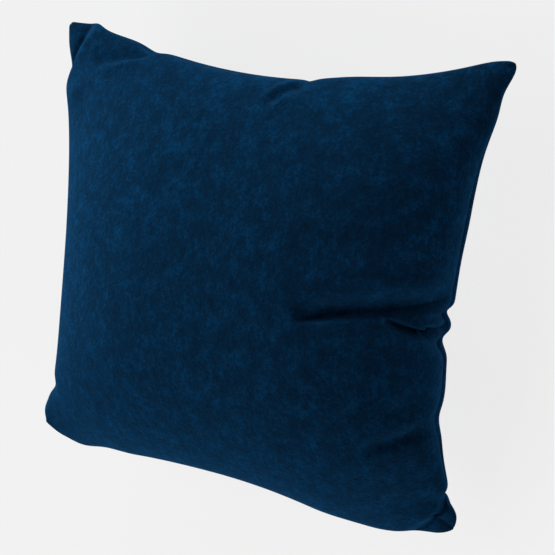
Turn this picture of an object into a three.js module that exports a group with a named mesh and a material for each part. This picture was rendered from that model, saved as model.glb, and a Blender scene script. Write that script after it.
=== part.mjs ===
// A plump square scatter cushion in blue velvet, lying on its back.
// Two square panels are sewn together round all four sides and filled: the middles of the sides
// draw in, the corners stand out as thin ears, and the front panel rises to a soft crown.
// Millimetres. +Z points up out of the front panel, +Y up the face and +X to its right.
// A place on a panel is given flat, as it was cut: right and up from the middle of the panel.
import * as THREE from "three";

// Driving dimensions
const SIDE = 450; // between opposite seams of the cover as cut
const HALF = SIDE / 2;
const SEAM_HEIGHT = 68; // of the seam above the surface that the cushion lies on
const FRONT_CROWN = 79.6; // rise of the front panel above the seam
const BACK_CROWN = 79; // fall of the back panel if nothing flattened it
const BACK_SHOULDER = 6; // softness of the rim of the flattened patch
const CROWN_POWER = 2.62; // higher is flatter in the middle and steeper at the seams
const CROWN_EDGE_POWER = 1.02; // lower makes the crown rise more steeply out of the seams
const EAR_BODY = 3; // thickness that each panel keeps in the thin ears
const EAR_BODY_POWER = 20; // higher keeps that thickness closer to the seam
const SEAM_TUCK_POWER = 8.9; // higher lets the panels bulge out further past the drawn-in seam
const SEAM_SET_IN = 3.6; // how far the sewn line itself sits back in its groove
const SEAM_SET_IN_POWER = 56; // higher makes that groove narrower

// The grid of each panel
const COLUMNS = 52;
const ROWS = 56;
const DENSITY_STEPS = 600;

// Blue velvet
const VELVET = { color: "#0a263d", roughness: 0.92, metalness: 0 };

// How far the filling draws in the middle of each side, and how far it lifts the seam there. A
// higher power keeps the pull closer to the middle: the low power is for the side's left or lower
// half, the high one for the other.
const SIDES = [
  { name: "left", across: "right", sign: -1, drawIn: 34.3, lift: -1.2, lowPower: 1, highPower: 2.25 },
  { name: "right", across: "right", sign: 1, drawIn: 25, lift: -10.1, lowPower: 1, highPower: 1 },
  { name: "bottom", across: "up", sign: -1, drawIn: 34.4, lift: -7.2, lowPower: 1.5, highPower: 3.14 },
  { name: "top", across: "up", sign: 1, drawIn: 40.7, lift: 1.5, lowPower: 2.02, highPower: 1.39 },
];

// Places where the seam is nipped in further: where along the side, how far and over what reach
const NIPS = [
  { side: "left", at: 180, pull: 2.1, reach: 12 },
  { side: "left", at: -155, pull: 6.9, reach: 12 },
  { side: "left", at: -198, pull: -1, reach: 14 },
  { side: "right", at: 192, pull: 3.1, reach: 15 },
  { side: "right", at: 137, pull: 1.7, reach: 32 },
  { side: "right", at: 1, pull: 9.1, reach: 6 },
  { side: "right", at: -14, pull: -0.9, reach: 5 },
  { side: "right", at: -25, pull: 10.1, reach: 9 },
  { side: "right", at: -95, pull: 4.8, reach: 13 },
  { side: "right", at: -181, pull: 8.5, reach: 11 },
  { side: "top", at: -204, pull: -0.6, reach: 9 },
  { side: "top", at: -184, pull: -4, reach: 12 },
  { side: "top", at: -121, pull: 5.2, reach: 12 },
  { side: "top", at: 46, pull: 6, reach: 9 },
  { side: "top", at: 86, pull: -4.6, reach: 35 },
  { side: "top", at: 202, pull: -2.1, reach: 25 },
  { side: "bottom", at: -165, pull: -7.6, reach: 25 },
  { side: "bottom", at: 85, pull: -0.4, reach: 25 },
  { side: "bottom", at: 157, pull: -2.2, reach: 20 },
];

// The ears: how far each tip has moved from the flat square's corner, the reach from the tip within
// which that move dies away, and the tip's rounding radius. Past a crease that crosses the corner the
// ear drops back across its width, with a valley along the crease. The crease meets the top or bottom
// side at alongSide and the left or right side at upSide, both measured from the corner.
const EARS = [
  {
    right: -1, up: 1, moveRight: -2.5, moveUp: -2.3, lift: 1.6, reach: 104, radius: 10,
    alongSide: 41, upSide: 80, drop: 11, valley: 3, width: 9,
  },
  {
    right: 1, up: 1, moveRight: 6.5, moveUp: 3.3, lift: -10.3, reach: 132, radius: 15,
    alongSide: 44, upSide: 52, drop: 0, valley: 0, width: 9,
  },
  {
    right: 1, up: -1, moveRight: 7.5, moveUp: 10.8, lift: -29.6, reach: 129, radius: 29,
    alongSide: 50, upSide: 52, drop: 7, valley: 3, width: 5,
  },
  {
    right: -1, up: -1, moveRight: -5.6, moveUp: 18.3, lift: -6.7, reach: 132, radius: 37,
    alongSide: 44, upSide: 60, drop: 0, valley: 0, width: 9,
  },
];
const EAR_CREASE_SPREAD = 2; // how much wider the drop gets at the top or bottom seam
const EAR_CREASE_SPREAD_REACH = 30; // from that seam, within which the drop is wider

// Folds and troughs of the front panel, each along a shallow arc from its start to its end. A bow is
// the arc's height at its peak, to the left of the way from start to end. A positive depth is a trough
// and a negative one a ridge, which falls away over one width to the left of the way and another to
// its right; the fade is how much of each end dies away. A shape of 2 is soft all through and one of
// 4 has a flatter floor between steeper walls.
const FRONT_FOLDS = [
  {
    name: "deep trough", from: [78, -14], to: [222, 11],
    bow: 3, peak: 0.5, depth: 13, left: 14, right: 2.5, fade: 0.25, shape: 2,
  },
  {
    name: "upper pocket", from: [153, 0], to: [198, -15],
    bow: -2, peak: 0.5, depth: 18, left: 4, right: 3.5, fade: 0.4, shape: 4,
  },
  {
    name: "lower pocket", from: [194, -13], to: [250, -9],
    bow: 0, peak: 0.5, depth: 26, left: 5.5, right: 5, fade: 0.1, shape: 4,
  },
  {
    name: "swell above", from: [100, 30], to: [215, 38],
    bow: 6, peak: 0.5, depth: -3, left: 16, right: 16, fade: 0.4, shape: 2,
  },
  {
    name: "lower trough", from: [224, -97], to: [150, -126],
    bow: -2, peak: 0.5, depth: 6, left: 5, right: 8, fade: 0.5, shape: 2,
  },
  {
    name: "low shade", from: [155, -94], to: [205, -70],
    bow: 0, peak: 0.5, depth: 2, left: 9, right: 9, fade: 0.5, shape: 2,
  },
  {
    name: "ear tuck", from: [-108, 216], to: [-170, 186],
    bow: 5, peak: 0.5, depth: 4, left: 4, right: 11, fade: 0.4, shape: 2,
  },
  {
    name: "ear tuck ridge", from: [-122, 202], to: [-166, 176],
    bow: 5, peak: 0.5, depth: -2, left: 5, right: 5, fade: 0.5, shape: 2,
  },
  {
    name: "top ridge", from: [58, 218], to: [16, 168],
    bow: -3, peak: 0.5, depth: -2.5, left: 4, right: 4, fade: 0.5, shape: 2,
  },
  {
    name: "top groove", from: [58, 206], to: [24, 164],
    bow: -3, peak: 0.5, depth: 2, left: 6, right: 4, fade: 0.5, shape: 2,
  },
  {
    name: "second ridge", from: [50, 188], to: [28, 156],
    bow: -2, peak: 0.5, depth: -2, left: 6, right: 6, fade: 0.5, shape: 2,
  },
  {
    name: "left swell", from: [-222, 158], to: [-180, 146],
    bow: 0, peak: 0.5, depth: -3, left: 12, right: 12, fade: 0.5, shape: 2,
  },
];

// Soft rolls of the back panel that show past the seam from the front
const BACK_ROLLS = [
  {
    name: "long right roll", from: [216, 205], to: [216, 10],
    bow: 0, peak: 0.5, depth: -0.5, left: 8, right: 8, fade: 0.15, shape: 2,
  },
  {
    name: "upper right roll", from: [216, 165], to: [216, 55],
    bow: 0, peak: 0.5, depth: -2.4, left: 8, right: 8, fade: 0.5, shape: 2,
  },
  {
    name: "lower right roll", from: [216, -40], to: [216, -190],
    bow: 0, peak: 0.5, depth: -1.8, left: 8, right: 8, fade: 0.2, shape: 2,
  },
  {
    name: "top roll", from: [-192, 215], to: [-112, 215],
    bow: 0, peak: 0.5, depth: -1.6, left: 8, right: 8, fade: 0.4, shape: 2,
  },
];
const FOLD_SEAM_POWER = 26; // higher lets folds run closer to the seam before they stop
const RUN_END = 1.15; // where a fold has died away, as a share of its run

// Where the grid lines crowd together: at both seams, and at the deep fold on the right
const COLUMN_CROWDS = [
  { at: -HALF, extra: 2.2, reach: 34 },
  { at: HALF, extra: 2.4, reach: 46 },
];
const ROW_CROWDS = [
  { at: -HALF, extra: 2.2, reach: 34 },
  { at: -10, extra: 2.4, reach: 22 },
  { at: HALF, extra: 2.2, reach: 34 },
];

function clamp01(value) {
  return Math.min(Math.max(value, 0), 1);
}

function smoothStep(value) {
  const t = clamp01(value);
  return t * t * (3 - 2 * t);
}

function bell(distance, reach) {
  return Math.exp(-((distance / reach) ** 2));
}

// Grid line places from one seam to the other, closer together wherever a crowd asks for it
function gridLines(count, crowds) {
  const totals = [0];
  for (let step = 0; step < DENSITY_STEPS; step += 1) {
    const middle = ((step + 0.5) / DENSITY_STEPS) * SIDE - HALF;
    const crowding = crowds.map((crowd) => crowd.extra * bell(middle - crowd.at, crowd.reach));
    const density = crowding.reduce((sum, extra) => sum + extra, 1);
    totals.push(totals[step] + density);
  }
  const lines = [];
  let step = 0;
  for (let line = 0; line <= count; line += 1) {
    const wanted = (totals[DENSITY_STEPS] * line) / count;
    while (step < DENSITY_STEPS - 1 && totals[step + 1] < wanted) {
      step += 1;
    }
    const part = (wanted - totals[step]) / (totals[step + 1] - totals[step]);
    lines.push(((step + clamp01(part)) / DENSITY_STEPS) * SIDE - HALF);
  }
  return lines;
}

// How far a side's seam is pulled in at a place along it
function drawnIn(side, along) {
  const share = along / HALF;
  const open = Math.max(1 - share * share, 0);
  const power = share < 0 ? side.lowPower : side.highPower;
  const nips = NIPS.filter((nip) => nip.side === side.name);
  const nipped = nips.reduce((sum, nip) => sum + nip.pull * bell(along - nip.at, nip.reach), 0);
  return side.drawIn * open ** power + nipped * smoothStep(open * 4);
}

// The nearer of two opposite sides' pull inwards and lift, dying away quickly from the seam
function sidePull(across, distance, along) {
  const sign = distance < 0 ? -1 : 1;
  const side = SIDES.find((entry) => entry.across === across && entry.sign === sign);
  const nearness = Math.abs(distance / HALF) ** SEAM_TUCK_POWER;
  const open = Math.max(1 - (along / HALF) ** 2, 0);
  const setIn = SEAM_SET_IN * Math.abs(distance / HALF) ** SEAM_SET_IN_POWER;
  const pulled = drawnIn(side, along) * nearness + setIn;
  return { inwards: -sign * pulled, lift: side.lift * open * nearness };
}

// The crown's share of its full height at a place on the panel: 1 in the middle, 0 at the seams
function crownShare(right, up) {
  const acrossShare = 1 - Math.abs(right / HALF) ** CROWN_POWER;
  const upShare = 1 - Math.abs(up / HALF) ** CROWN_POWER;
  return (Math.max(acrossShare, 0) * Math.max(upShare, 0)) ** CROWN_EDGE_POWER;
}

function earBody(right, up) {
  const acrossShare = 1 - Math.abs(right / HALF) ** EAR_BODY_POWER;
  const upShare = 1 - Math.abs(up / HALF) ** EAR_BODY_POWER;
  return EAR_BODY * Math.max(acrossShare, 0) * Math.max(upShare, 0);
}

// A fall that the supporting surface stops at its limit, with a soft shoulder just before it
function stoppedAt(fall, limit, shoulder) {
  const start = limit - shoulder;
  if (fall <= start) {
    return fall;
  }
  const t = clamp01((fall - start) / (2 * shoulder));
  return start + 2 * shoulder * (t - (t * t) / 2);
}

// How far a point near a corner moves in, so that nested squares round the corner become arcs
function tipRounding(radius, fromSide, fromEnd) {
  const side = Math.max(radius - fromSide, 0);
  const end = Math.max(radius - fromEnd, 0);
  if (side === 0 || end === 0) {
    return { side: 0, end: 0 };
  }
  const kept = Math.max(side, end) / Math.hypot(side, end);
  return { side: side * (1 - kept), end: end * (1 - kept) };
}

// How far an ear hangs back at a distance past its crease: the drop, and the valley along it
function earFall(ear, pastDistance, fromSide, fromEnd) {
  const nearEnd = 1 - smoothStep(fromEnd / EAR_CREASE_SPREAD_REACH);
  const width = ear.width * (1 + EAR_CREASE_SPREAD * nearEnd);
  const inside = smoothStep(Math.min(fromSide, fromEnd) / ear.width);
  const valley = ear.valley * bell(pastDistance - ear.width / 2, ear.width / 2) * inside;
  return ear.drop * smoothStep(pastDistance / width + 0.5) + valley;
}

// Moves a point for the four ears: their tips' own places, round ends and the drop past a crease
function bendEars(point, right, up) {
  for (const ear of EARS) {
    const fromSide = HALF - ear.right * right;
    const fromEnd = HALF - ear.up * up;
    const fromTip = Math.hypot(fromSide, fromEnd);
    const shift = smoothStep(1 - fromTip / ear.reach);
    const rounding = tipRounding(ear.radius, fromSide, fromEnd);
    const past = 1 - fromSide / ear.alongSide - fromEnd / ear.upSide;
    const pastDistance = past / Math.hypot(1 / ear.alongSide, 1 / ear.upSide);
    point.x += ear.moveRight * shift - ear.right * rounding.side;
    point.y += ear.moveUp * shift - ear.up * rounding.end;
    point.z += ear.lift * shift - earFall(ear, pastDistance, fromSide, fromEnd);
  }
}

// A place on the plump cover before its folds. The facing is 1 on the front panel and -1 on the back.
function plumpPoint(facing, right, up) {
  const crown = crownShare(right, up);
  const rise = FRONT_CROWN * crown + earBody(right, up);
  const fall = stoppedAt(BACK_CROWN * crown + earBody(right, up), SEAM_HEIGHT, BACK_SHOULDER);
  const acrossPull = sidePull("right", right, up);
  const upPull = sidePull("up", up, right);
  const point = new THREE.Vector3(
    right + acrossPull.inwards,
    up + upPull.inwards,
    SEAM_HEIGHT + acrossPull.lift + upPull.lift + (facing > 0 ? rise : -fall),
  );
  bendEars(point, right, up);
  return point;
}

// How deep the folds press a panel in at a place on it
function foldDepth(facing, right, up) {
  let depth = 0;
  for (const fold of facing > 0 ? FRONT_FOLDS : BACK_ROLLS) {
    const runRight = fold.to[0] - fold.from[0];
    const runUp = fold.to[1] - fold.from[1];
    const length = Math.hypot(runRight, runUp);
    const fromRight = right - fold.from[0];
    const fromUp = up - fold.from[1];
    const along = (fromRight * runRight + fromUp * runUp) / length ** 2;
    const beside = (fromUp * runRight - fromRight * runUp) / length;
    const halfArc = along < fold.peak ? fold.peak : 1 - fold.peak;
    const arc = fold.bow * (1 - ((along - fold.peak) / halfArc) ** 2);
    const width = beside > arc ? fold.left : fold.right;
    const ends = smoothStep(along / fold.fade) * smoothStep((RUN_END - along) / fold.fade);
    depth += fold.depth * ends * Math.exp(-((Math.abs(beside - arc) / width) ** fold.shape));
  }
  const seamward = Math.max(Math.abs(right), Math.abs(up)) / HALF;
  return depth * (1 - seamward ** FOLD_SEAM_POWER);
}

// The outward direction of a plump panel, from two short steps across it
function panelNormal(facing, right, up) {
  const step = 1;
  const acrossStep = plumpPoint(facing, right + step, up).sub(plumpPoint(facing, right - step, up));
  const upStep = plumpPoint(facing, right, up + step).sub(plumpPoint(facing, right, up - step));
  return acrossStep.cross(upStep).normalize().multiplyScalar(facing);
}

function coverPoint(facing, right, up) {
  const point = plumpPoint(facing, right, up);
  const onSeam = Math.max(Math.abs(right), Math.abs(up)) >= HALF;
  const depth = onSeam ? 0 : foldDepth(facing, right, up);
  if (depth !== 0) {
    point.addScaledVector(panelNormal(facing, right, up), -depth);
  }
  return point;
}

// The closed skin of the cushion: both panels on the same grid, sharing the points of the seam
function cushionGeometry() {
  const columns = gridLines(COLUMNS, COLUMN_CROWDS);
  const rows = gridLines(ROWS, ROW_CROWDS);
  const positions = [];
  const triangles = [];
  const seamPoints = new Map();

  const pointNumber = (facing, column, row) => {
    const onSeam = column === 0 || column === COLUMNS || row === 0 || row === ROWS;
    const key = `${column},${row}`;
    if (onSeam && seamPoints.has(key)) {
      return seamPoints.get(key);
    }
    const point = coverPoint(facing, columns[column], rows[row]);
    const number = positions.length / 3;
    positions.push(point.x, point.y, point.z);
    if (onSeam) {
      seamPoints.set(key, number);
    }
    return number;
  };

  for (const facing of [1, -1]) {
    const numbers = columns.map((_, column) => rows.map((__, row) => pointNumber(facing, column, row)));
    for (let column = 0; column < COLUMNS; column += 1) {
      for (let row = 0; row < ROWS; row += 1) {
        const quad = [
          numbers[column][row],
          numbers[column + 1][row],
          numbers[column + 1][row + 1],
          numbers[column][row + 1],
        ];
        if (facing < 0) {
          quad.reverse();
        }
        // Each quad is split by the diagonal that runs towards the cushion's middle, so that no
        // triangle of a corner lies wholly on the seam
        const rising = (column < COLUMNS / 2) === (row < ROWS / 2);
        const [a, b, c, d] = rising === facing > 0 ? quad : [quad[1], quad[2], quad[3], quad[0]];
        triangles.push(a, b, c, a, c, d);
      }
    }
  }

  const geometry = new THREE.BufferGeometry();
  geometry.setAttribute("position", new THREE.Float32BufferAttribute(positions, 3));
  geometry.setIndex(triangles);
  // The origin is under the middle of the cushion's own box, on the surface that it lies on
  geometry.computeBoundingBox();
  const middle = geometry.boundingBox.getCenter(new THREE.Vector3());
  geometry.translate(-middle.x, -middle.y, 0);
  geometry.computeVertexNormals();
  return geometry;
}

function cushion() {
  const mesh = new THREE.Mesh(cushionGeometry(), new THREE.MeshStandardMaterial(VELVET));
  mesh.name = "cushion";
  return mesh;
}

const model = new THREE.Group();
model.add(cushion());

export default model;
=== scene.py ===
"""A plump square scatter cushion in short-pile blue velvet, lying on its back.

Blender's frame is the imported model's: metres, +Z out of the front panel, +Y up the face and +X to
its right. The cover's tables are in millimetres, and a place on a panel is given flat, as it was
cut: right and up from the panel's middle.
"""

import bpy
import numpy as np
from mathutils import Matrix, Vector


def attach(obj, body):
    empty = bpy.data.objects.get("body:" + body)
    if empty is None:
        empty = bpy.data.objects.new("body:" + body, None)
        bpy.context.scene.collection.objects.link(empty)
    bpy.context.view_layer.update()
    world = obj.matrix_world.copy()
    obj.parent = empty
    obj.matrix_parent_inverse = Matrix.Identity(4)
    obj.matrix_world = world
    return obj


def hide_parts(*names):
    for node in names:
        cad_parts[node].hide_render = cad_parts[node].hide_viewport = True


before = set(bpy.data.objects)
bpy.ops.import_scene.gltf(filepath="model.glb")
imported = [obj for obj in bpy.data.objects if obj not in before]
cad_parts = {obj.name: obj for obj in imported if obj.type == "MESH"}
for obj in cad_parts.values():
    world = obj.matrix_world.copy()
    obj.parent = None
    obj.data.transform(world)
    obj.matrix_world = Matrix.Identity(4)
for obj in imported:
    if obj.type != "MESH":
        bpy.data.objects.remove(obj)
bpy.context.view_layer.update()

MM = 0.001

# Driving dimensions of the cover, in millimetres
SIDE = 450  # between opposite seams of the cover as cut
HALF = SIDE / 2
SEAM_HEIGHT = 68  # of the seam above the floor
FRONT_CROWN = 79.6  # rise of the front panel above the seam
BACK_CROWN = 79  # fall of the back panel if the floor didn't flatten it
BACK_SHOULDER = 6  # softness of the rim of the flattened patch
CROWN_POWER = 2.62  # higher is flatter in the middle and steeper at the seams
CROWN_EDGE_POWER = 1.02  # lower makes the crown rise more steeply out of the seams
EAR_BODY = 3  # thickness that each panel keeps in the thin ears
EAR_BODY_POWER = 20
SEAM_TUCK_POWER = 8.9  # higher lets the panels bulge out further past the drawn-in seam
SEAM_SET_IN = 3.6  # how far the sewn line sits back in its groove
SEAM_SET_IN_POWER = 56  # higher makes that groove narrower

# Quads along each panel's two directions, and the lines' crowds as (place, extra, reach)
COLUMNS = 190
ROWS = 210
COLUMN_CROWDS = [(-HALF, 1.6, 30), (HALF, 2.6, 50)]
ROW_CROWDS = [(-HALF, 1.6, 30), (-4, 3.6, 18), (HALF, 1.6, 30)]
DENSITY_STEPS = 2000
NORMAL_STEP = 1
SMALLEST_LENGTH = 1e-9

# How far the filling draws in and lifts the middle of each side. A higher power keeps the pull closer
# to the middle: the low power is for the side's left or lower half, the high one for the other.
SIDES = {
    "left": {"draw_in": 34.3, "lift": -1.2, "low_power": 1, "high_power": 2.25},
    "right": {"draw_in": 25, "lift": -10.1, "low_power": 1, "high_power": 1},
    "bottom": {"draw_in": 34.4, "lift": -7.2, "low_power": 1.5, "high_power": 3.14},
    "top": {"draw_in": 40.7, "lift": 1.5, "low_power": 2.02, "high_power": 1.39},
}

# Places where the seam is nipped in further, or swells out where the pull is negative
NIPS = [
    {"side": "left", "at": 180, "pull": 2.1, "reach": 12},
    {"side": "left", "at": -155, "pull": 6.9, "reach": 12},
    {"side": "left", "at": -198, "pull": -1, "reach": 14},
    {"side": "right", "at": 192, "pull": 3.1, "reach": 15},
    {"side": "right", "at": 137, "pull": 1.7, "reach": 32},
    {"side": "right", "at": 1, "pull": 9.1, "reach": 6},
    {"side": "right", "at": -14, "pull": -0.9, "reach": 5},
    {"side": "right", "at": -25, "pull": 10.1, "reach": 9},
    {"side": "right", "at": -95, "pull": 4.8, "reach": 13},
    {"side": "right", "at": -181, "pull": 8.5, "reach": 11},
    {"side": "top", "at": -204, "pull": -0.6, "reach": 9},
    {"side": "top", "at": -184, "pull": -4, "reach": 12},
    {"side": "top", "at": -121, "pull": 5.2, "reach": 12},
    {"side": "top", "at": 46, "pull": 6, "reach": 9},
    {"side": "top", "at": 86, "pull": -4.6, "reach": 35},
    {"side": "top", "at": 202, "pull": -2.1, "reach": 25},
    {"side": "bottom", "at": -165, "pull": -7.6, "reach": 25},
    {"side": "bottom", "at": 85, "pull": -0.4, "reach": 25},
    {"side": "bottom", "at": 157, "pull": -2.2, "reach": 20},
]
NIP_END_FADE = 4  # higher lets the nips run closer to the corners

# The ears: how far each tip has moved, over what reach from it, and its rounding radius. Past a crease
# that crosses the corner the ear drops back across a width, with a valley along the crease. The crease
# is given by where it meets the top or bottom side and the left or right side, from the corner.
EARS = [
    {
        "right": -1, "up": 1, "move": (-2.5, -2.3, 1.6), "reach": 104, "radius": 10,
        "crease": (41, 80), "drop": 11, "valley": 3, "width": 9,
    },
    {
        "right": 1, "up": 1, "move": (6.5, 3.3, -10.3), "reach": 132, "radius": 15,
        "crease": (44, 52), "drop": 0, "valley": 0, "width": 9,
    },
    {
        "right": 1, "up": -1, "move": (7.5, 10.8, -29.6), "reach": 129, "radius": 29,
        "crease": (50, 52), "drop": 7, "valley": 3, "width": 5,
    },
    {
        "right": -1, "up": -1, "move": (-5.6, 18.3, -6.7), "reach": 132, "radius": 37,
        "crease": (44, 60), "drop": 0, "valley": 0, "width": 9,
    },
]
EAR_CREASE_SPREAD = 2  # how much wider the drop gets at the top or bottom seam
EAR_CREASE_SPREAD_REACH = 30

# Folds of a panel, each along an arc that bows most at its peak. A positive depth is a trough and a
# negative one a ridge. Each falls away over one width left of its run and another right of it; a
# shape of 2 is soft and one of 4 has a flatter floor between steeper walls.
FOLD_COLUMNS = ("from", "to", "bow", "peak", "depth", "left", "right", "fade", "shape")
FRONT_FOLDS = [
    # The deep trough on the right, with the two lobes of the pocket below it and the swell above
    ((78, -14), (222, 11), 3, 0.5, 13, 14, 2.5, 0.25, 2),
    ((153, 0), (198, -15), -2, 0.5, 18, 4, 3.5, 0.4, 4),
    ((194, -13), (250, -9), 0, 0.5, 26, 5.5, 5, 0.1, 4),
    ((100, 30), (215, 38), 6, 0.5, -3, 16, 16, 0.4, 2),
    # The lower trough on the right and the shade above it
    ((224, -97), (150, -126), -2, 0.5, 6, 5, 8, 0.5, 2),
    ((155, -94), (205, -70), 0, 0.5, 2, 9, 9, 0.5, 2),
    # The tuck at the upper left ear and the ridge below it
    ((-108, 216), (-170, 186), 5, 0.5, 4, 4, 11, 0.4, 2),
    ((-122, 202), (-166, 176), 5, 0.5, -2, 5, 5, 0.5, 2),
    # The ripples at the top notch: a ridge, a groove and a second ridge
    ((58, 218), (16, 168), -3, 0.5, -2.5, 4, 4, 0.5, 2),
    ((58, 206), (24, 164), -3, 0.5, 2, 6, 4, 0.5, 2),
    ((50, 188), (28, 156), -2, 0.5, -2, 6, 6, 0.5, 2),
    # The swell below the upper left ear
    ((-222, 158), (-180, 146), 0, 0.5, -3, 12, 12, 0.5, 2),
]
# Soft rolls of the back panel that show past the seam from the front
BACK_ROLLS = [
    ((216, 205), (216, 10), 0, 0.5, -0.5, 8, 8, 0.15, 2),
    ((216, 165), (216, 55), 0, 0.5, -2.4, 8, 8, 0.5, 2),
    ((216, -40), (216, -190), 0, 0.5, -1.8, 8, 8, 0.2, 2),
    ((-192, 215), (-112, 215), 0, 0.5, -1.6, 8, 8, 0.4, 2),
]
FOLD_SEAM_POWER = 26  # higher lets folds run closer to the seam before they stop
RUN_END = 1.15  # where a fold has died away, as a share of its run

# The velvet. Each noise has a scale for the three directions, a detail and a roughness.
VELVET_ROUGHNESS = 0.9
SHEEN_WEIGHT = 0.15
SHEEN_ROUGHNESS = 0.8
SHEEN_TINT = (0.068, 0.395, 0.95, 1)
MOTTLING = ((70, 56, 66), 4, 1)
MOTTLING_DARK = (0.34, (0, 0.0002, 0.001, 1))
MOTTLING_MIDDLE = (0.5, (0, 0.0060, 0.0195, 1))
MOTTLING_LIGHT = (0.7, (0.0001, 0.0260, 0.078, 1))
PILE = ((120, 110, 120), 3, 0.9)
PILE_HEIGHT = 0.0015

# The floor, whose own glow keeps it nearly white under soft light
FLOOR_SIZE = 12
FLOOR_COLOUR = (0.12, 0.12, 0.12, 1)
FLOOR_ROUGHNESS = 0.9
FLOOR_GLOW = 0.8
WHITE = (1, 1, 1, 1)
WORLD_STRENGTH = 0.03

# The camera, against the face of the cushion: degrees, metres and pixels of a square picture
PICTURE_SIDE = 555
CAMERA_AZIMUTH = 23.67
CAMERA_ELEVATION = 10.92
CAMERA_ROLL = 6.11
CAMERA_DISTANCE = 1.0757
CAMERA_SHIFT = (0.0296, -0.0037)
FOCAL_PIXELS = 1145
SENSOR_WIDTH = 36

# Soft distant lights: (right, up, back) in the picture towards each, its strength and width in degrees
LIGHTS = {
    "upper_key": ((-0.2, 1, 0.05), 6.1, 35),
    "left_key": ((-1, 0.2, 0.05), 1.5, 35),
    "lower_left_fill": ((-1, -0.7, 0.05), 2.0, 35),
    "right_rim": ((0.86, -0.09, 0.45), 0.6, 16),
    "lower_right_fill": ((1, -1, 0.8), 0.7, 35),
}


def clamp01(value):
    return np.clip(value, 0, 1)


def smooth_step(value):
    t = clamp01(value)
    return t * t * (3 - 2 * t)


def bell(distance, reach):
    return np.exp(-((distance / reach) ** 2))


def drawn_in(name, along):
    """How far a side's seam is pulled in at places along it."""
    side = SIDES[name]
    share = along / HALF
    opening = np.maximum(1 - share * share, 0)
    power = np.where(share < 0, side["low_power"], side["high_power"])
    nipped = np.zeros_like(along)
    for nip in NIPS:
        if nip["side"] == name:
            nipped += nip["pull"] * bell(along - nip["at"], nip["reach"])
    return side["draw_in"] * opening**power + nipped * smooth_step(opening * NIP_END_FADE)


def side_pull(low_name, high_name, distance, along):
    """The nearer side's pull inwards and its lift, dying away quickly from the seam."""
    nearness = np.abs(distance / HALF) ** SEAM_TUCK_POWER
    opening = np.maximum(1 - (along / HALF) ** 2, 0)
    low = distance < 0
    inwards = np.where(low, drawn_in(low_name, along), drawn_in(high_name, along)) * nearness
    inwards += SEAM_SET_IN * np.abs(distance / HALF) ** SEAM_SET_IN_POWER
    lift = np.where(low, SIDES[low_name]["lift"], SIDES[high_name]["lift"])
    return -np.sign(distance) * inwards, lift * opening * nearness


def panel_share(right, up, power):
    """1 in the middle of a panel and 0 at its seams."""
    across = 1 - np.abs(right / HALF) ** power
    upward = 1 - np.abs(up / HALF) ** power
    return np.maximum(across, 0) * np.maximum(upward, 0)


def stopped_at(fall, limit, shoulder):
    """A fall that the supporting surface stops, with a soft shoulder before it."""
    start = limit - shoulder
    t = clamp01((fall - start) / (2 * shoulder))
    return np.where(fall <= start, fall, start + 2 * shoulder * (t - t * t / 2))


def bend_ear(ear, points, right, up):
    """Moves the points near one corner: the tip's place, its round end and its drop past a crease."""
    from_side = HALF - ear["right"] * right
    from_end = HALF - ear["up"] * up
    shift = smooth_step(1 - np.hypot(from_side, from_end) / ear["reach"])
    in_side = np.maximum(ear["radius"] - from_side, 0)
    in_end = np.maximum(ear["radius"] - from_end, 0)
    rounded = (in_side > 0) & (in_end > 0)
    kept = np.maximum(in_side, in_end) / np.maximum(np.hypot(in_side, in_end), SMALLEST_LENGTH)
    cut = np.where(rounded, 1 - kept, 0)
    along_side, up_side = ear["crease"]
    past = 1 - from_side / along_side - from_end / up_side
    past_distance = past / np.hypot(1 / along_side, 1 / up_side)
    points[..., 0] += ear["move"][0] * shift - ear["right"] * in_side * cut
    points[..., 1] += ear["move"][1] * shift - ear["up"] * in_end * cut
    points[..., 2] += ear["move"][2] * shift
    spread = 1 + EAR_CREASE_SPREAD * (1 - smooth_step(from_end / EAR_CREASE_SPREAD_REACH))
    points[..., 2] -= ear["drop"] * smooth_step(past_distance / (ear["width"] * spread) + 0.5)
    valley = ear["valley"] * bell(past_distance - ear["width"] / 2, ear["width"] / 2)
    points[..., 2] -= valley * smooth_step(np.minimum(from_side, from_end) / ear["width"])


def plump_points(facing, right, up):
    """Places on the plump cover before its folds; facing is 1 for the front panel, -1 for the back."""
    crown = panel_share(right, up, CROWN_POWER) ** CROWN_EDGE_POWER
    body = EAR_BODY * panel_share(right, up, EAR_BODY_POWER)
    across_pull, across_lift = side_pull("left", "right", right, up)
    up_pull, up_lift = side_pull("bottom", "top", up, right)
    if facing > 0:
        height = FRONT_CROWN * crown + body
    else:
        height = -stopped_at(BACK_CROWN * crown + body, SEAM_HEIGHT, BACK_SHOULDER)
    points = np.stack(
        [right + across_pull, up + up_pull, SEAM_HEIGHT + across_lift + up_lift + height], axis=-1
    )
    for ear in EARS:
        bend_ear(ear, points, right, up)
    return points


def fold_depth(folds, right, up):
    """How deep the folds press a panel in."""
    depth = np.zeros_like(right)
    for row in folds:
        fold = dict(zip(FOLD_COLUMNS, row))
        start = np.array(fold["from"], dtype=float)
        run = np.array(fold["to"], dtype=float) - start
        length = np.hypot(*run)
        along = ((right - start[0]) * run[0] + (up - start[1]) * run[1]) / length**2
        beside = ((up - start[1]) * run[0] - (right - start[0]) * run[1]) / length
        half_arc = np.where(along < fold["peak"], fold["peak"], 1 - fold["peak"])
        beside = beside - fold["bow"] * (1 - ((along - fold["peak"]) / half_arc) ** 2)
        width = np.where(beside > 0, fold["left"], fold["right"])
        ends = smooth_step(along / fold["fade"]) * smooth_step((RUN_END - along) / fold["fade"])
        depth += fold["depth"] * ends * np.exp(-((np.abs(beside) / width) ** fold["shape"]))
    seamward = np.maximum(np.abs(right), np.abs(up)) / HALF
    return depth * (1 - seamward**FOLD_SEAM_POWER)


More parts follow.
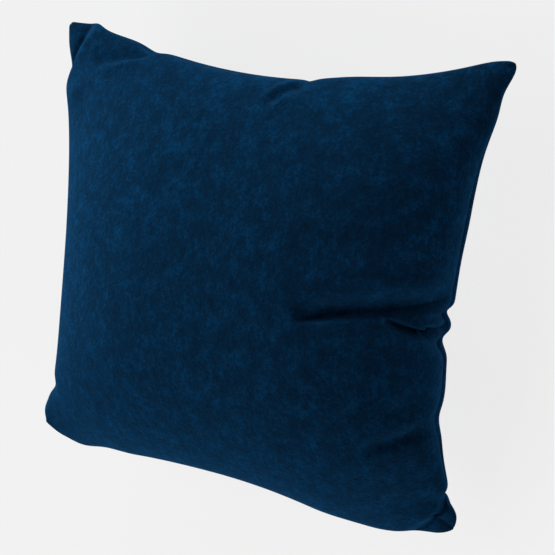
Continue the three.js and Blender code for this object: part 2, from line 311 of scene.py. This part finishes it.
def panel_normals(facing, right, up):
    """The outward directions of a plump panel, from two short steps across it."""
    step = NORMAL_STEP
    across = plump_points(facing, right + step, up) - plump_points(facing, right - step, up)
    upward = plump_points(facing, right, up + step) - plump_points(facing, right, up - step)
    normals = facing * np.cross(across, upward)
    return normals / np.linalg.norm(normals, axis=-1, keepdims=True)


def cover_points(facing, right, up):
    folds = FRONT_FOLDS if facing > 0 else BACK_ROLLS
    depth = fold_depth(folds, right, up)[..., None]
    return plump_points(facing, right, up) - panel_normals(facing, right, up) * depth


def grid_lines(count, crowds):
    """Grid places from seam to seam, closer together at each crowd of (place, extra, reach)."""
    places = np.linspace(-HALF, HALF, DENSITY_STEPS + 1)
    density = 1 + sum(extra * bell(places - at, reach) for at, extra, reach in crowds)
    totals = np.concatenate([[0], np.cumsum((density[1:] + density[:-1]) / 2)])
    return np.interp(np.linspace(0, totals[-1], count + 1), totals, places)


def cover_mesh():
    """Both panels on one grid, sharing the points of the seam. Returns the mesh object."""
    columns = grid_lines(COLUMNS, COLUMN_CROWDS)
    rows = grid_lines(ROWS, ROW_CROWDS)
    right, up = np.meshgrid(columns, rows, indexing="ij")
    front = cover_points(1, right, up)
    back = cover_points(-1, right, up)
    count = (COLUMNS + 1) * (ROWS + 1)
    numbers = np.arange(count).reshape(COLUMNS + 1, ROWS + 1)
    inner = np.zeros_like(numbers, dtype=bool)
    inner[1:-1, 1:-1] = True
    back_numbers = numbers.copy()
    back_numbers[inner] = count + np.arange(inner.sum())
    points = np.concatenate([front.reshape(-1, 3), back[inner]])
    low, high = points.min(axis=0), points.max(axis=0)
    points[:, :2] -= ((low + high) / 2)[:2]

    def quads(grid, facing):
        corners = [grid[:-1, :-1], grid[1:, :-1], grid[1:, 1:], grid[:-1, 1:]]
        return np.stack(corners[::facing], axis=-1).reshape(-1, 4)

    faces = np.concatenate([quads(numbers, 1), quads(back_numbers, -1)])
    mesh = bpy.data.meshes.new("cushion_cover")
    mesh.from_pydata((points * MM).tolist(), [], faces.tolist())
    mesh.shade_smooth()
    mesh.validate()
    cover = bpy.data.objects.new("cushion_cover", mesh)
    bpy.context.scene.collection.objects.link(cover)
    return cover


def noise_pattern(tree, scale, detail, roughness):
    """A noise in the object's own space. Returns its output between 0 and 1."""
    place = tree.nodes.new("ShaderNodeTexCoord")
    mapping = tree.nodes.new("ShaderNodeMapping")
    mapping.inputs["Scale"].default_value = scale
    tree.links.new(place.outputs["Object"], mapping.inputs["Vector"])
    texture = tree.nodes.new("ShaderNodeTexNoise")
    texture.inputs["Scale"].default_value = 1
    texture.inputs["Detail"].default_value = detail
    texture.inputs["Roughness"].default_value = roughness
    tree.links.new(mapping.outputs["Vector"], texture.inputs["Vector"])
    return texture.outputs["Fac"]


def mottled_colour(tree):
    """Patches where the pile leans one way or another. Returns the colour output."""
    ramp = tree.nodes.new("ShaderNodeValToRGB")
    elements = ramp.color_ramp.elements
    elements[0].position, elements[0].color = MOTTLING_DARK
    elements[1].position, elements[1].color = MOTTLING_LIGHT
    middle_place, middle_colour = MOTTLING_MIDDLE
    elements.new(middle_place).color = middle_colour
    tree.links.new(noise_pattern(tree, *MOTTLING), ramp.inputs["Fac"])
    return ramp.outputs["Color"]


def pile_normal(tree):
    """The fine unevenness of the pile. Returns the normal output."""
    bump = tree.nodes.new("ShaderNodeBump")
    bump.inputs["Strength"].default_value = 1
    bump.inputs["Distance"].default_value = PILE_HEIGHT
    tree.links.new(noise_pattern(tree, *PILE), bump.inputs["Height"])
    return bump.outputs["Normal"]


def velvet_material():
    """Short pile: dark and mottled in itself, with a blue sheen where it is lit or seen at a slant."""
    material = bpy.data.materials.new("velvet")
    material.use_nodes = True
    tree = material.node_tree
    shader = tree.nodes["Principled BSDF"]
    shader.inputs["Roughness"].default_value = VELVET_ROUGHNESS
    shader.inputs["Specular IOR Level"].default_value = 0
    shader.inputs["Sheen Weight"].default_value = SHEEN_WEIGHT
    shader.inputs["Sheen Roughness"].default_value = SHEEN_ROUGHNESS
    shader.inputs["Sheen Tint"].default_value = SHEEN_TINT
    tree.links.new(mottled_colour(tree), shader.inputs["Base Color"])
    tree.links.new(pile_normal(tree), shader.inputs["Normal"])
    return material


def floor_material():
    material = bpy.data.materials.new("pale_floor")
    material.use_nodes = True
    shader = material.node_tree.nodes["Principled BSDF"]
    shader.inputs["Base Color"].default_value = FLOOR_COLOUR
    shader.inputs["Roughness"].default_value = FLOOR_ROUGHNESS
    shader.inputs["Specular IOR Level"].default_value = 0
    shader.inputs["Emission Color"].default_value = WHITE
    shader.inputs["Emission Strength"].default_value = FLOOR_GLOW
    return material


def add_floor():
    bpy.ops.mesh.primitive_plane_add(size=FLOOR_SIZE, location=(0, 0, 0))
    floor = bpy.context.object
    floor.name = "floor"
    floor.data.materials.append(floor_material())


def camera_axes():
    """The picture's own directions: across it, up it and back towards the viewer."""
    azimuth, elevation, roll = np.radians([CAMERA_AZIMUTH, CAMERA_ELEVATION, CAMERA_ROLL])
    level = np.cos(elevation)
    back = Vector((np.sin(azimuth) * level, np.sin(elevation), np.cos(azimuth) * level))
    side = Vector((0, 1, 0)).cross(back).normalized()
    above = back.cross(side)
    across = side * np.cos(roll) + above * np.sin(roll)
    upward = above * np.cos(roll) - side * np.sin(roll)
    return across, upward, back


def add_camera():
    across, upward, back = camera_axes()
    camera = bpy.data.objects.new("camera", bpy.data.cameras.new("camera"))
    camera.data.sensor_width = SENSOR_WIDTH
    camera.data.lens = SENSOR_WIDTH * FOCAL_PIXELS / PICTURE_SIDE
    pivot = Vector((0, 0, SEAM_HEIGHT * MM))
    place = pivot + across * CAMERA_SHIFT[0] + upward * CAMERA_SHIFT[1] + back * CAMERA_DISTANCE
    turn = Matrix((across, upward, back)).transposed().to_4x4()
    camera.matrix_world = Matrix.Translation(place) @ turn
    bpy.context.scene.collection.objects.link(camera)
    bpy.context.scene.camera = camera


def add_sun(name, toward, strength, angle):
    """A soft distant light that comes from the direction (right, up, back) in the picture."""
    across, upward, back = camera_axes()
    direction = (across * toward[0] + upward * toward[1] + back * toward[2]).normalized()
    light = bpy.data.objects.new(name, bpy.data.lights.new(name, "SUN"))
    light.data.energy = strength
    light.data.angle = np.radians(angle)
    light.rotation_euler = direction.to_track_quat("Z", "Y").to_euler()
    bpy.context.scene.collection.objects.link(light)


def set_world():
    world = bpy.data.worlds.new("studio")
    world.use_nodes = True
    background = world.node_tree.nodes["Background"]
    background.inputs["Color"].default_value = WHITE
    background.inputs["Strength"].default_value = WORLD_STRENGTH
    bpy.context.scene.world = world


add_camera()
add_floor()
for light_name, (toward, strength, angle) in LIGHTS.items():
    add_sun(light_name, toward, strength, angle)
set_world()
bpy.context.scene.view_settings.view_transform = "Standard"

cover = cover_mesh()
cover.data.materials.append(velvet_material())
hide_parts("cushion")
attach(cover, "root")
